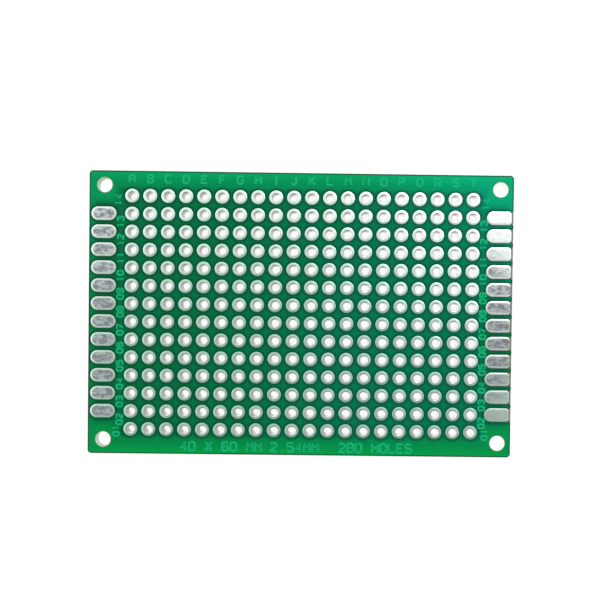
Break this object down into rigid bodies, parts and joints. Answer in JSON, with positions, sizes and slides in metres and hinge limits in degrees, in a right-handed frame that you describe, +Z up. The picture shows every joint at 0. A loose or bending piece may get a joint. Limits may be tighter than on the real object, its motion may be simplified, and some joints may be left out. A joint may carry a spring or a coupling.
{
  "type": "prototype board",
  "caption": "Flat green double-sided circuit board with a grid of plated solder holes, solder pads along both short edges and a screw hole in each corner.",
  "frame": {"origin": "centre of the board's underside, on the surface that the board lies on", "axes": "+X along the board's length towards the right-hand edge pads and the last column, +Y across its width towards the column letters, +Z up out of the lettered face"},
  "size_m": [0.06, 0.04, 0.0016],
  "materials": {
    "laminate": "glass-epoxy laminate, sawn edges",
    "solder_mask": "semi-gloss green solder mask",
    "pad_solder": "hot-air-levelled tin on copper, slightly mottled",
    "hole_plating": "hot-air-levelled tin on copper, bright"
  },
  "bodies": {
    "root": {"laminate": "laminate", "solder_mask_top": "solder_mask", "solder_mask_bottom": "solder_mask", "edge_pads_top_left": "pad_solder", "edge_pads_top_right": "pad_solder", "edge_pads_bottom_left": "pad_solder", "edge_pads_bottom_right": "pad_solder", "hole_plating_a": "hole_plating", "hole_plating_b": "hole_plating", "hole_plating_c": "hole_plating", "hole_plating_d": "hole_plating", "hole_plating_e": "hole_plating", "hole_plating_f": "hole_plating", "hole_plating_g": "hole_plating", "hole_plating_h": "hole_plating", "hole_plating_i": "hole_plating", "hole_plating_j": "hole_plating", "hole_plating_k": "hole_plating", "hole_plating_l": "hole_plating", "hole_plating_m": "hole_plating", "hole_plating_n": "hole_plating", "hole_plating_o": "hole_plating", "hole_plating_p": "hole_plating", "hole_plating_q": "hole_plating", "hole_plating_r": "hole_plating", "hole_plating_s": "hole_plating", "hole_plating_t": "hole_plating"}
  },
  "joints": []
}
